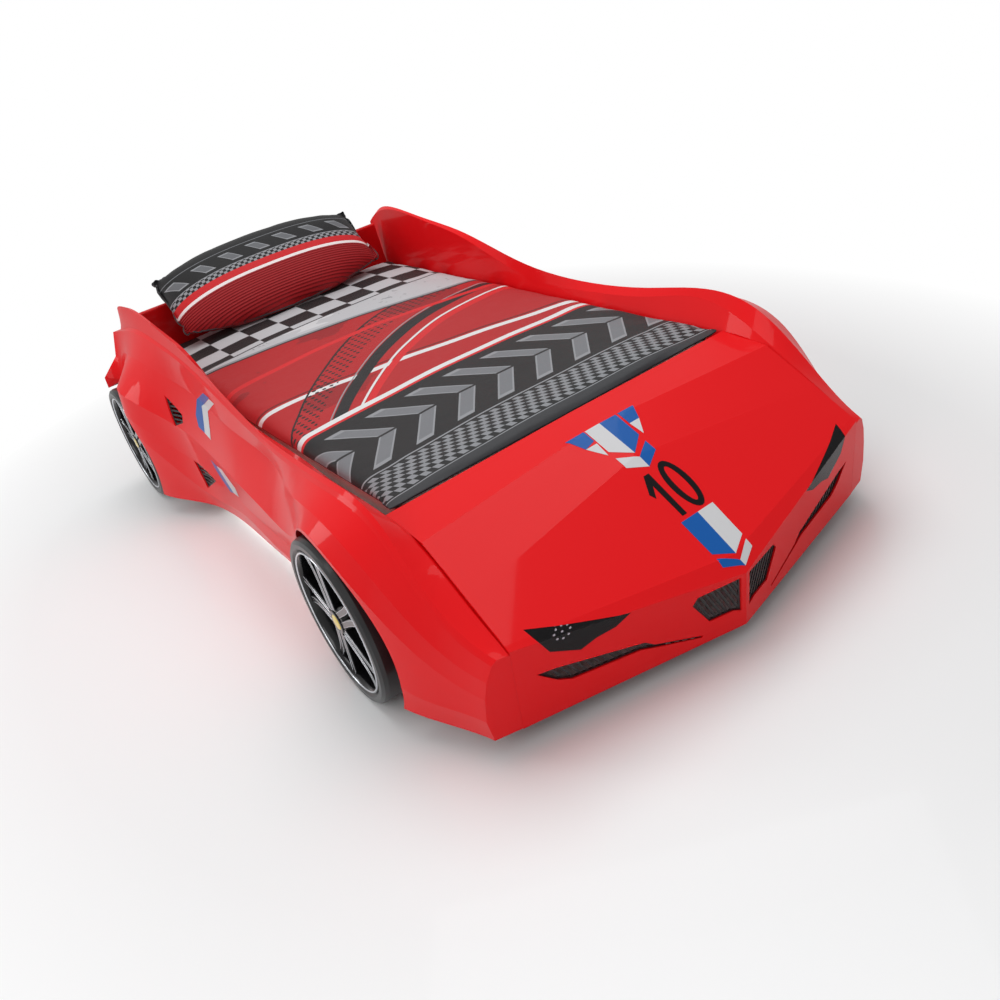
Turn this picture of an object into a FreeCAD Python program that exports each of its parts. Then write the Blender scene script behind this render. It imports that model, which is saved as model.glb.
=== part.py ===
import FreeCAD, Part
import math
import os
import Sketcher
from FreeCAD import Placement, Rotation, Vector

# Child's car bed. Millimetres, +Z up, floor at z = 0, the nose towards -Y, the car's right side at -X.
# The moulded sides are skins on flat boards; the boards, rails and slats carry the mattress.

SIZES = {
    # mattress well and its boards
    "mattress_width": 900, "mattress_length": 1900, "mattress_thick": 200, "mattress_round": 28,
    "well_slack": 10, "end_slack": 2.4, "gap": 0.3, "board_thick": 18, "board_low": 30, "board_high": 390,
    "foot_high": 414, "head_thick": 22, "head_high": 600, "head_round": 8,
    # bedding
    "quilt_front_thick": 14, "quilt_rear_thick": 52, "quilt_drop": 12, "quilt_edge": 8,
    "pillow_width": 780, "pillow_tall": 390, "pillow_thick": 150, "pillow_lean": 46,
    # base under the mattress
    "rail_wide": 30, "rail_tall": 38, "slat_thick": 12, "slat_wide": 68, "slat_top": 220,
    "beam_wide": 44, "beam_tall": 60, "leg_inset": 520, "stirrup_wall": 3, "stirrup_long": 46,
    "glide_radius": 17, "leg_glide_radius": 20, "leg_glide_tall": 5, "glide_inset": 120,
    # wheels and where they stand
    "nose_overhang": 622, "wheelbase": 1752, "tyre_radius": 198.5, "tyre_bead": 172, "tyre_wide": 108,
    "wheel_out": 148.5, "tyre_shoulder": 14, "rim_wall": 4, "rim_inset": 4, "dish_depth": 34, "spoke_thick": 13,
    "spoke_wide": 19, "spoke_root_gap": 13, "spoke_mid_gap": 19, "spoke_tip_gap": 47, "hub_radius": 38, "hub_cap_radius": 27,
    "hub_cap_tall": 9, "mount_radius": 60,
    # moulded skins
    "skin": 4, "arch_radius": 230, "arch_ahead": 26, "arch_drop": 7, "well_deep": 22,
    "nose_rake": 0.2857, "nose_sweep": 0.2697, "side_sweep": 0.32, "rim_band": 30,
    # hood: heights and distances behind the nose tip, on the centre line and at the side seams
    "hood_rear_mid": 428, "hood_knee_mid": 420, "hood_brow_mid": 214, "hood_crease_mid": 180, "hood_chin_mid": 39,
    "hood_slope_mid": 372, "hood_rear_side": 424, "hood_knee_side": 409, "hood_slope_side": 328,
    "hood_brow_side": 268, "hood_crease_side": 260, "hood_chin_side": 50,
    "knee_mid_back": 401, "slope_mid_back": 284, "brow_mid_back": 26, "chin_mid_back": 40,
    "knee_side_back": 353, "slope_side_back": 216, "brow_side_back": 118, "crease_side_back": 106,
    "chin_side_back": 166, "rib_out": 190, "rib_front_back": 150,
    # fasteners
    "bolt_radius": 3, "bolt_slack": 0.15, "head_radius": 4.6, "head_tall": 3.6, "bolt_long": 42,
    # lighting
    "bowl_deep": 46, "bowl_wall": 3, "led_disc_radius": 24, "led_radius": 5, "led_circle": 16.5,
    "light_wide": 12, "light_tall": 13, "light_long": 1000, "light_low": 33,
    "driver_wide": 120, "driver_tall": 80, "driver_deep": 32, "driver_low": 110, "inlet_radius": 6,
    "inlet_bore": 2.75, "inlet_long": 12,
}

SLATS = 14
SPOKES = 5
LEDS_ON_RING = 8

# Character lines of a moulded side, from the lip over the board up over the crest and down to the sill.
LINES = ("lip", "crestin", "crest", "band", "ledge", "flank", "bulge", "tuck", "belt", "sill")

# Stations along a side: the axle each one is placed from, its distance behind that axle, and for each
# character line how far it stands outboard of the board and how high it runs.
STATIONS = {
    "nose": ("front", -556, (-17, 190), (4, 215), (22, 225), (28, 218), (31, 213), (38, 180), (42, 150),
             (43, 130), (44, 110), (42, 50)),
    "corner": ("front", -456, (-17, 265), (4, 291), (36, 272), (41, 264), (44, 258), (56, 215), (61, 170),
               (61.5, 140), (62, 110), (51, 52)),
    "fendernose": ("front", -336, (-17, 340), (6, 368), (52, 362), (58, 353), (62, 345), (90, 290), (101, 230),
                   (102, 175), (103, 120), (92, 62)),
    "fenderrise": ("front", -226, (-17, 386), (12, 432), (49, 462), (58, 454), (64, 446), (111, 400),
                   (133, 340), (136, 245), (138, 150), (136, 78)),
    "frontwheel": ("front", -6, (-17, 390.5), (37, 485), (52, 505), (61, 497), (68, 488), (111, 462),
                   (139, 432), (142, 330), (143, 250), (143, 85)),
    "fendertail": ("front", 194, (-17, 390.5), (22, 470), (42, 488), (50, 480), (56, 470), (87, 430),
                   (118, 335), (108, 262), (114, 225), (108, 75)),
    "waist": ("front", 444, (-17, 390.5), (12, 459), (31, 478), (36, 470), (40, 460), (42, 415), (105, 320),
              (90, 221), (99, 186), (62, 60)),
    "door": ("front", 794, (-17, 390.5), (4, 478), (14, 515), (19, 500), (24, 490), (35, 430), (85, 320),
             (76, 210), (79, 165), (51, 58)),
    "haunchrise": ("rear", -608, (-17, 390.5), (-4, 590), (10, 600), (16, 565), (22, 556), (26, 458),
                   (68, 322), (66, 214), (66, 105), (52, 54)),
    "flare": ("rear", -458, (-17, 390.5), (-2, 615), (9, 622), (18, 582), (25, 574), (45, 490), (80, 345),
              (80, 230), (85, 125), (75, 56)),
    "haunch": ("rear", -308, (-17, 390.5), (0, 636), (8, 641), (21, 596), (30, 588), (67, 520), (127, 400),
               (135, 310), (139, 240), (134, 65)),
    "rearwheel": ("rear", -108, (-17, 390.5), (4, 655), (14, 661), (25, 595), (37, 588), (70, 520),
                  (134, 435), (139, 330), (142, 240), (142, 65)),
    "tail": ("rear", 92, (-17, 390.5), (-8, 600), (9, 603), (27, 562), (53, 562), (77, 482), (137, 427),
             (140, 360), (142, 300), (142, 65)),
}

# Openings in the nose, as distance from the centre line and height.
LAMP = ((244, 218), (432, 272), (425, 254), (406, 215), (348, 184), (315, 196), (276, 200))
GRILLE = ((12, 173), (106, 174), (118, 158), (82, 95), (29, 93), (11, 84))
INTAKE = ((437, 173), (400, 168), (221, 123), (201, 105), (97, 65), (101, 61), (201, 96), (229, 107),
          (370, 119), (399, 135))
# Vents in the flank, as distance behind the rear axle and height.
UPPER_VENT = ((-426, 434), (-522, 382), (-520, 357), (-460, 340), (-441, 386))
LOWER_VENT = ((-485, 223), (-643, 189), (-510, 131))


class Length:
    """A size that keeps the sheet formula it came from, so that objects can be bound to it."""

    def __init__(self, value, formula):
        self.value = float(value)
        self.formula = formula

    def joined(self, other, sign, value):
        formula = other.formula if isinstance(other, Length) else repr(other)
        return Length(value, f"({self.formula} {sign} {formula})")

    def __add__(self, other):
        return self.joined(other, "+", self.value + number(other))

    def __sub__(self, other):
        return self.joined(other, "-", self.value - number(other))

    def __mul__(self, other):
        return self.joined(other, "*", self.value * number(other))

    def __truediv__(self, other):
        return self.joined(other, "/", self.value / number(other))

    def __neg__(self):
        return self * -1

    def __radd__(self, other):
        return self + other


def number(size):
    return size.value if isinstance(size, Length) else size


class Sheet:
    """The sheet of driving dimensions; each alias is read as an attribute."""

    def __init__(self, doc):
        self.cells = doc.addObject("Spreadsheet::Sheet", "Sizes")
        self.rows = 0
        for name, value in SIZES.items():
            self.write(name, value)
        for station, (axle, back, *corners) in STATIONS.items():
            self.write(f"{station}_back", back)
            for line, (out, high) in zip(LINES, corners):
                self.write(f"{station}_{line}_out", out)
                self.write(f"{station}_{line}_high", high)
        doc.recompute()

    def write(self, name, value):
        self.rows += 1
        self.cells.set(f"A{self.rows}", name)
        self.cells.set(f"B{self.rows}", str(value))
        self.cells.setAlias(f"B{self.rows}", name)

    def __getattr__(self, name):
        return Length(self.cells.get(name), f"Sizes.{name}")


doc = FreeCAD.newDocument("CarBed")
sheet = Sheet(doc)
pieces = []

# Places that several pieces share.
total_long = sheet.nose_overhang + sheet.wheelbase + sheet.tyre_radius
nose_y = -(total_long / 2)
front_axle_y = nose_y + sheet.nose_overhang
rear_axle_y = front_axle_y + sheet.wheelbase
axle_z = sheet.tyre_radius + sheet.gap
well_half = sheet.mattress_width / 2 + sheet.well_slack
board_out = well_half + sheet.board_thick
skin_in = board_out + sheet.gap
wheel_face_x = skin_in + sheet.wheel_out
head_front_y = rear_axle_y + 35
well_front_y = head_front_y - sheet.mattress_length - sheet.end_slack * 2
foot_front_y = well_front_y - sheet.board_thick
head_rear_y = head_front_y + sheet.head_thick
rail_high = sheet.slat_top - sheet.slat_thick - sheet.gap
mattress_low = sheet.slat_top + sheet.gap
mattress_high = mattress_low + sheet.mattress_thick
quilt_low = mattress_high + sheet.gap
SIDES = (("right", -1), ("left", 1))


def keep(piece, label):
    piece.Label = label
    pieces.append(piece)
    return piece


def bind(piece, **formulas):
    for prop, size in formulas.items():
        piece.setExpression(prop.replace("_", "."), size.formula)


def place(piece, x, y, z):
    bind(piece, Placement_Base_x=x, Placement_Base_y=y, Placement_Base_z=z)


def block(name, low, high):
    """A rectangular block between two opposite corners, each a size."""
    piece = doc.addObject("Part::Box", name)
    bind(piece, Length=high[0] - low[0], Width=high[1] - low[1], Height=high[2] - low[2])
    place(piece, *low)
    return piece


def rod(name, radius, long, base, axis="z"):
    """A round bar that starts at base and runs along +x, +y or +z."""
    piece = doc.addObject("Part::Cylinder", name)
    bind(piece, Radius=radius, Height=long)
    turn = {"x": Rotation(Vector(0, 1, 0), 90), "y": Rotation(Vector(1, 0, 0), -90), "z": Rotation()}[axis]
    piece.Placement = Placement(Vector(), turn)
    place(piece, *base)
    return piece


def group(name, members):
    piece = doc.addObject("Part::Compound", name)
    piece.Links = members
    return piece


def fused(name, members):
    piece = doc.addObject("Part::MultiFuse", name)
    piece.Shapes = members
    return piece


def cut(name, base, tool):
    piece = doc.addObject("Part::Cut", name)
    piece.Base = base
    piece.Tool = tool
    return piece


def solid(name, shape):
    """A piece whose form the basic features don't reach; its shape is worked out from the sheet."""
    piece = doc.addObject("Part::Feature", name)
    piece.Shape = shape
    return piece


def plane_of(body, role):
    return [item for item in body.Origin.OriginFeatures if item.Role == role][0]


def outline(body, name, role, loops):
    """A sketch of closed straight-sided loops, each corner held by two bound distances from the origin."""
    sketch = body.newObject("Sketcher::SketchObject", name)
    sketch.AttachmentSupport = [(plane_of(body, role), "")]
    sketch.MapMode = "FlatFace"
    for loop in loops:
        first = sketch.GeometryCount
        count = len(loop)
        for k, (across, up) in enumerate(loop):
            far_across, far_up = loop[(k + 1) % count]
            sketch.addGeometry(Part.LineSegment(Vector(across.value, up.value, 0),
                                                Vector(far_across.value, far_up.value, 0)), False)
        for k, (across, up) in enumerate(loop):
            edge = first + k
            sketch.addConstraint(Sketcher.Constraint("Coincident", edge, 2, first + (k + 1) % count, 1))
            for kind, size in (("DistanceX", across), ("DistanceY", up)):
                index = sketch.addConstraint(Sketcher.Constraint(kind, -1, 1, edge, 1, size.value))
                sketch.setExpression(f"Constraints[{index}]", size.formula)
    return sketch


def turned(body, name, points):
    """A revolution about the body's Z axis of a profile of (radius, height) corners."""
    sketch = outline(body, name + "_profile", "XZ_Plane", [points])
    feature = body.newObject("PartDesign::Revolution", name)
    feature.Profile = sketch
    feature.ReferenceAxis = (sketch, ["V_Axis"])
    feature.Angle = 360
    return feature


def padded(body, name, role, loops, thick, midplane=False):
    sketch = outline(body, name + "_profile", role, loops)
    feature = body.newObject("PartDesign::Pad", name)
    feature.Profile = sketch
    bind(feature, Length=thick)
    feature.Midplane = midplane
    return feature


def inset(points, depth):
    """Corners of a clockwise or anticlockwise outline moved inwards by depth; a negative depth moves out."""
    area = sum(a[0] * b[1] - b[0] * a[1] for a, b in zip(points, points[1:] + points[:1]))
    side = depth if area > 0 else -depth
    moved = []
    for k, (x, y) in enumerate(points):
        before, after = points[k - 1], points[(k + 1) % len(points)]
        run_in = math.atan2(y - before[1], x - before[0])
        run_out = math.atan2(after[1] - y, after[0] - x)
        half_turn = math.remainder(run_out - run_in, math.tau) / 2
        bisector = run_in + half_turn + math.pi / 2
        reach = side / math.cos(half_turn)
        moved.append((x + reach * math.cos(bisector), y + reach * math.sin(bisector)))
    return moved


def closed_wire(points):
    return Part.makePolygon(list(points) + [points[0]])


# ---------------------------------------------------------------------------------------------- side skins

def station_y(station):
    axle = front_axle_y if STATIONS[station][0] == "front" else rear_axle_y
    return (axle + getattr(sheet, f"{station}_back")).value


def side_section(station, depth, open_floor):
    """Closed outline of the left skin at a station, in x and z, moved inwards by depth."""
    points = [(getattr(sheet, f"{station}_{line}_out").value, getattr(sheet, f"{station}_{line}_high").value)
              for line in LINES]
    points += [(0, points[-1][1]), (0, points[0][1] - 1)]
    moved = inset(points, depth)
    if open_floor:
        (belt_x, belt_z), (sill_x, sill_z) = moved[-4:-2]
        below = sill_z - 60
        moved[-3] = (sill_x + (sill_x - belt_x) * (below - sill_z) / (sill_z - belt_z), below)
        moved[-2] = (moved[-2][0], below)
    return [Vector(skin_in.value + x, station_y(station), z) for x, z in moved]


def side_loft(depth, open_floor=False):
    return Part.makeLoft([closed_wire(side_section(name, depth, open_floor)) for name in STATIONS], True, False)


def slab(low, high):
    return Part.makeBox(*(high[k] - low[k] for k in range(3)), Vector(*low))


def side_front_wedge(setback):
    """The space ahead of the raked, swept front end of a side, moved back by setback."""
    rake, sweep = sheet.nose_rake.value, sheet.side_sweep.value
    seam = nose_y.value + sheet.crease_side_back.value + setback
    crease = sheet.hood_crease_side.value
    corners = []
    for x in (skin_in.value - 5, skin_in.value + 200):
        for z in (-50, 600):
            corners.append(Vector(x, seam + (crease - z) * rake + (x - skin_in.value) * sweep, z))
    face = Part.Face(Part.makePolygon([corners[k] for k in (0, 1, 3, 2, 0)]))
    return face.extrude(Vector(0, -400, 0))


def arch(axle, ahead, radius, back_x):
    """A wheel arch: a round hole along x whose flat back stands at back_x."""
    centre = Vector(back_x, (axle - ahead).value, (axle_z - sheet.arch_drop).value)
    return Part.makeCylinder(radius, 300, centre, Vector(1, 0, 0))


def arches(extra):
    back_x = (skin_in + sheet.well_deep).value - extra
    radius = sheet.arch_radius.value + extra
    ahead = sheet.arch_ahead
    return [arch(front_axle_y, ahead, radius, back_x), arch(rear_axle_y, ahead, radius, back_x)]


def flank_prism(corners, depth):
    """A bar along x with the outline of a flank vent, moved inwards by depth."""
    moved = inset([(rear_axle_y.value + back, high) for back, high in corners], depth)
    wire = closed_wire([Vector(skin_in.value, y, z) for y, z in moved])
    return Part.Face(wire).extrude(Vector(200, 0, 0))


def side_bolt_spots():
    """Heights and places along the car of the bolts that hold a skin: two at the hood, four on the board."""
    front = nose_y.value
    hood = [(front + 215, 170), (front + 420, 320)]
    start, end = well_front_y.value + 80, head_front_y.value - 80
    high = sheet.board_high.value - sheet.rim_band.value / 2
    return hood, [(start + (end - start) * k / 3, high) for k in range(4)]


def prism(sides, radius, tall, base, axis):
    """An upright prism with a regular outline, standing on base along a unit axis."""
    across = axis.cross(Vector(0, 0, 1))
    across = across.normalize() if across.Length > 0.1 else Vector(1, 0, 0)
    up = axis.cross(across)
    corners = [base + across * (radius * math.cos(math.tau * k / sides))
               + up * (radius * math.sin(math.tau * k / sides)) for k in range(sides)]
    return Part.Face(closed_wire(corners)).extrude(axis * tall)


def bolt_holes():
    radius = sheet.bolt_radius.value + sheet.bolt_slack.value
    hood, board = side_bolt_spots()
    start = well_half.value - 20
    return [Part.makeCylinder(radius, 60, Vector(start, y, z), Vector(1, 0, 0)) for y, z in hood + board]


def side_skin():
    """Left moulded side: a thin skin, open below and towards its board, with pockets for the wheels."""
    skin = sheet.skin.value
    outer = side_loft(0).cut(side_front_wedge(0)).cut(arches(0))
    tail = station_y("tail")
    cavity = side_loft(skin, True).cut(side_front_wedge(skin * 1.1)).cut(arches(skin))
    cavity = cavity.cut(slab((0, tail - skin, -200), (900, tail + 10, 900)))
    shell = outer.cut(cavity)
    band = sheet.rim_band.value
    board_hole = slab((skin_in.value - 1, well_front_y.value + band, -10),
                      (skin_in.value + skin + 0.5, tail - skin - band, sheet.board_high.value - band))
    board_room = slab((0, well_front_y.value, -10),
                      (skin_in.value, tail + 10, (sheet.board_high + sheet.gap).value))
    hood_room = slab((0, nose_y.value - 50, -10), (skin_in.value, well_front_y.value, 460))
    for room in (board_hole, board_room, hood_room):
        shell = shell.cut(room)
    shell = shell.cut([flank_prism(UPPER_VENT, 0), flank_prism(LOWER_VENT, 0)] + bolt_holes())
    return shell.removeSplitter()


def largest(shape):
    return max(shape.Solids, key=lambda item: item.Volume)


def vent_mesh(corners, layer):
    """A slotted plate that backs a flank vent, following the inside of the skin."""
    plate = layer.common(flank_prism(corners, -9))
    hole = flank_prism(corners, 4)
    box = hole.BoundBox
    pitch, bar = 13, 5
    slots = []
    high = box.ZMin + bar
    while high < box.ZMax:
        slots.append(slab((box.XMin, box.YMin, high), (box.XMax, box.YMax, high + pitch - bar)))
        high += pitch
    return largest(plate.cut(hole.common(Part.makeCompound(slots))))


def mirrored(shape):
    return shape.mirror(Vector(0, 0, 0), Vector(1, 0, 0))


left_skin = largest(side_skin())
backing_gap = sheet.skin.value + sheet.gap.value
backing = side_loft(backing_gap).cut(side_loft(backing_gap + 2.5))
upper_mesh, lower_mesh = vent_mesh(UPPER_VENT, backing), vent_mesh(LOWER_VENT, backing)
for side, sign in SIDES:
    for label, shape in (("side_skin", left_skin), ("vent_mesh_upper", upper_mesh), ("vent_mesh_lower", lower_mesh)):
        keep(solid(f"{label}_{side}", shape if sign > 0 else mirrored(shape)), f"{label}_{side}")


# ------------------------------------------------------------------------------------------------ the hood

def hood_section(where, depth, open_back):
    """Closed outline of the hood in y and z, on the centre line or at a side seam, moved in by depth."""
    rear_y = well_front_y.value - sheet.gap.value
    nose = nose_y.value
    points = [(rear_y, getattr(sheet, f"hood_rear_{where}").value)]
    for part in ("knee", "slope", "brow", "crease", "chin"):
        back = 0 if (part, where) == ("crease", "mid") else getattr(sheet, f"{part}_{where}_back").value
        points.append((nose + back, getattr(sheet, f"hood_{part}_{where}").value))
    points.append((rear_y, points[-1][1]))
    moved = inset(points, depth)
    if open_back:
        below = -60
        last = moved[-2]
        run = moved[-3]
        slope = (last[0] - run[0]) / (last[1] - run[1])
        moved[-2] = (last[0] + slope * (below - last[1]), below)
        moved[-1] = (rear_y + 40, below)
        moved[0] = (rear_y + 40, moved[0][1])
    return moved


def hood_loft(depth, open_back=False):
    half = (board_out - depth).value
    wires = []
    for where, x in (("side", -half), ("mid", 0), ("side", half)):
        wires.append(closed_wire([Vector(x, y, z) for y, z in hood_section(where, depth, open_back)]))
    return Part.makeLoft(wires, True, True)


def nose_prism(corners, sign, depth, start=-200, end=200):
    """A bar along y with the outline of an opening in the nose, moved inwards by depth."""
    moved = inset([(sign * x, z) for x, z in corners], depth)
    base_y = nose_y.value
    wire = closed_wire([Vector(x, base_y + start, z) for x, z in moved])
    return Part.Face(wire).extrude(Vector(0, end - start, 0))


def face_y(x, z):
    """Where the flat raked front of the hood lies at a point of one half of the nose."""
    top = nose_y.value + sheet.hood_crease_mid.value * sheet.nose_rake.value
    return top + abs(x) * sheet.nose_sweep.value - z * sheet.nose_rake.value


def nose_sheet(corners, sign, depth, thick):
    """A flat sheet parallel to the front of the hood, behind its skin by depth."""
    wire = closed_wire([Vector(sign * x, face_y(x, z) + depth, z) for x, z in corners])
    return Part.Face(wire).extrude(Vector(0, thick, 0))


hood_outer = hood_loft(0)
hood_solid = hood_outer.cut(hood_loft(sheet.skin.value, True))
inner_hood = hood_loft(backing_gap, True)
inner_plate = inner_hood.cut(hood_loft(backing_gap + 2.5, True))
openings = [nose_prism(corners, sign, 0) for corners in (LAMP, GRILLE, INTAKE) for _, sign in SIDES]
holes = bolt_holes() + [mirrored(hole) for hole in bolt_holes()]
keep(solid("hood", hood_solid.cut(openings).cut(holes)), "hood")


def slotted(plate, corners, sign, pitch, bar, lean):
    """Cut leaning slots through a backing plate, inside the outline of its opening."""
    hole = nose_prism(corners, sign, 4)
    box = hole.BoundBox
    tall = box.ZLength
    slots = []
    across = box.XMin - abs(lean) * tall + bar
    while across < box.XMax + abs(lean) * tall:
        foot, width = across, pitch - bar
        points = [(foot, box.ZMin), (foot + width, box.ZMin),
                  (foot + width + lean * tall, box.ZMax), (foot + lean * tall, box.ZMax)]
        wire = closed_wire([Vector(x, box.YMin, z) for x, z in points])
        slots.append(Part.Face(wire).extrude(Vector(0, box.YLength, 0)))
        across += pitch
    return plate.cut(hole.common(Part.makeCompound(slots)))


def nose_backing(corners, sign):
    return inner_plate.common(nose_prism(corners, sign, -6))


def lamp_bowl(sign):
    """The lamp's cup: walls round the opening and a flat back, open to the front."""
    deep, wall = sheet.bowl_deep.value, sheet.bowl_wall.value
    spread = inset([(sign * x, z) for x, z in LAMP], -(wall + 1))
    hollow = inset([(sign * x, z) for x, z in LAMP], -1)
    front = Part.Face(closed_wire([Vector(x, face_y(x, z) - 90, z) for x, z in spread]))
    mouth = Part.Face(closed_wire([Vector(x, face_y(x, z) - 90, z) for x, z in hollow]))
    cup = front.extrude(Vector(0, 90 + deep, 0)).common(inner_hood)
    return largest(cup.cut(mouth.extrude(Vector(0, 90 + deep - wall, 0))))


def lamp_leds(sign):
    """A round board with one light in the middle and a ring of them, fixed on the back of the bowl."""
    x, z = 361, 224
    back = face_y(x, z) + sheet.bowl_deep.value - sheet.bowl_wall.value - sheet.gap.value
    rake, sweep = sheet.nose_rake.value, sheet.nose_sweep.value
    centre = Vector(sign * x, back, z)
    forward = Vector(sign * sweep, -1, -rake).normalize()
    across = Vector(0, 0, 1).cross(forward).normalize()
    up = forward.cross(across)
    disc = Part.makeCylinder(sheet.led_disc_radius.value, 4, centre, forward)
    radius = sheet.led_radius.value
    spots = [centre]
    for k in range(LEDS_ON_RING):
        turn = math.tau * k / LEDS_ON_RING
        reach = sheet.led_circle.value
        spots.append(centre + across * (reach * math.cos(turn)) + up * (reach * math.sin(turn)))
    lights = [prism(8, radius, 5, spot + forward * 3.5, forward) for spot in spots]
    return disc.multiFuse(lights)


for side, sign in SIDES:
    lens = hood_solid.common(nose_prism(LAMP, sign, sheet.gap.value))
    keep(solid(f"headlight_lens_{side}", largest(lens)), f"headlight_lens_{side}")
    keep(solid(f"headlight_bowl_{side}", lamp_bowl(sign)), f"headlight_bowl_{side}")
    keep(solid(f"headlight_leds_{side}", lamp_leds(sign)), f"headlight_leds_{side}")
    grille = slotted(nose_backing(GRILLE, sign), GRILLE, sign, 12, 5, sign * 0.45)
    keep(solid(f"centre_grille_{side}", largest(grille)), f"centre_grille_{side}")
    intake = slotted(nose_backing(INTAKE, sign), INTAKE, sign, 14, 5, sign * 0.6)
    keep(solid(f"intake_mesh_{side}", largest(intake)), f"intake_mesh_{side}")

# ------------------------------------------------------------------------------------------ boards and base

hole_radius = sheet.bolt_radius + sheet.bolt_slack
end_bolt_x = well_half + sheet.board_thick / 2
end_bolt_heights = [sheet.board_low + (sheet.board_high - sheet.board_low) * share for share in (0.2, 0.8)]


def end_bolt_rods(name, radius, long, start, sides):
    """Round bars along y at the heights and places where the end boards are bolted to the side boards."""
    return [rod(f"{name}_{k}_{tag}", radius, long, (end_bolt_x * sign, start, high), "y")
            for tag, sign in sides for k, high in enumerate(end_bolt_heights)]


def side_board(side, sign):
    """Flat side board of the mattress well, drilled for the skin's bolts and, in its ends, for the others."""
    low_x = well_half if sign > 0 else -board_out
    high_x = board_out if sign > 0 else -well_half
    top = sheet.board_high
    low = (low_x, well_front_y + sheet.gap, sheet.board_low)
    board = block(f"board_blank_{side}", low, (high_x, head_front_y - sheet.gap, top))
    depth = sheet.bolt_long - sheet.board_thick
    drills = end_bolt_rods(f"front_drill_{side}", hole_radius, depth + 2, well_front_y, ((side, sign),))
    drills += end_bolt_rods(f"rear_drill_{side}", hole_radius, depth + 2, head_front_y - depth - 2, ((side, sign),))
    for k, (y, z) in enumerate(side_bolt_spots()[1]):
        drill = solid(f"skin_drill_{side}_{k}", Part.makeCylinder(
            hole_radius.value, 60, Vector(sign * (well_half.value - 20), y, z), Vector(sign, 0, 0)))
        drills.append(drill)
    keep(cut(f"side_board_{side}", board, group(f"board_drills_{side}", drills)), f"side_board_{side}")


def foot_board():
    """Cross board between hood and mattress; the hood's rear edge rests over it."""
    half = board_out - sheet.skin - sheet.gap
    high = sheet.foot_high
    low = (-half, foot_front_y, sheet.board_low)
    board = block("foot_blank", low, (half, well_front_y, high))
    drills = group("foot_drills", end_bolt_rods("foot_drill", hole_radius, sheet.board_thick + 2,
                                                foot_front_y - 1, SIDES))
    keep(cut("foot_board", board, drills), "foot_board")


def headboard():
    """Low panel at the head end: shouldered, to pass between the moulded sides above their boards."""
    body = doc.addObject("PartDesign::Body", "headboard_body")
    shoulder = sheet.board_high
    wide, narrow = board_out, well_half - sheet.gap
    corners = [(-wide, sheet.board_low), (wide, sheet.board_low), (wide, shoulder), (narrow, shoulder),
               (narrow, sheet.head_high), (-narrow, sheet.head_high), (-narrow, shoulder), (-wide, shoulder)]
    pad = padded(body, "head_pad", "XZ_Plane", [corners], sheet.head_thick)
    doc.recompute()
    rounding = body.newObject("PartDesign::Fillet", "head_rounding")
    top = [f"Edge{k + 1}" for k, edge in enumerate(pad.Shape.Edges)
           if abs(edge.BoundBox.ZMin - sheet.head_high.value) < 0.01 and edge.BoundBox.XLength > 100]
    rounding.Base = (pad, top)
    bind(rounding, Radius=sheet.head_round)
    place(body, sheet.gap * 0, head_rear_y, sheet.gap * 0)
    drills = group("head_drills", end_bolt_rods("head_drill", hole_radius, sheet.head_thick + 2,
                                                head_front_y - 1, SIDES))
    keep(cut("headboard", body, drills), "headboard")


def end_bolts(label, head_start, shank_start, long):
    """Bolts that hold an end board to the two side boards: round heads outside, shanks in the boards."""
    bolts = []
    for tag, sign in SIDES:
        heads = end_bolt_rods(f"{label}_head", sheet.head_radius, sheet.head_tall, head_start, ((tag, sign),))
        shanks = end_bolt_rods(f"{label}_shank", sheet.bolt_radius, long, shank_start, ((tag, sign),))
        bolts += [fused(f"{label}_{tag}_{k}", pair) for k, pair in enumerate(zip(heads, shanks))]
    keep(group(label, [bolt for bolt in bolts]), label)


for side, sign in SIDES:
    side_board(side, sign)
foot_board()
headboard()
end_bolts("foot_board_bolts", foot_front_y - sheet.gap - sheet.head_tall,
          foot_front_y - sheet.gap - 0.1, sheet.bolt_long)
end_bolts("headboard_bolts", head_rear_y + sheet.gap,
          head_rear_y + sheet.gap + 0.1 - sheet.bolt_long, sheet.bolt_long)


def skin_bolts(side, sign):
    """Bolts with their nuts that hold a moulded side to the hood and to its board."""
    hood, board = side_bolt_spots()
    radius, head, tall = sheet.bolt_radius.value, sheet.head_radius.value, sheet.head_tall.value
    gap = sheet.gap.value
    nut_start = (skin_in + sheet.skin).value + gap
    bolts = []
    for spots, seat in ((hood, (board_out - sheet.skin).value), (board, well_half.value)):
        for y, z in spots:
            start = seat - gap - tall
            shank = Part.makeCylinder(radius, nut_start + tall - start, Vector(start, y, z), Vector(1, 0, 0))
            cap = prism(6, head, tall, Vector(start, y, z), Vector(1, 0, 0))
            nut = prism(6, head, tall, Vector(nut_start, y, z), Vector(1, 0, 0))
            bolts.append(shank.multiFuse([cap, nut]).removeSplitter())
    shape = Part.makeCompound(bolts)
    keep(solid(f"skin_bolts_{side}", shape if sign > 0 else mirrored(shape)), f"skin_bolts_{side}")


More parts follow.
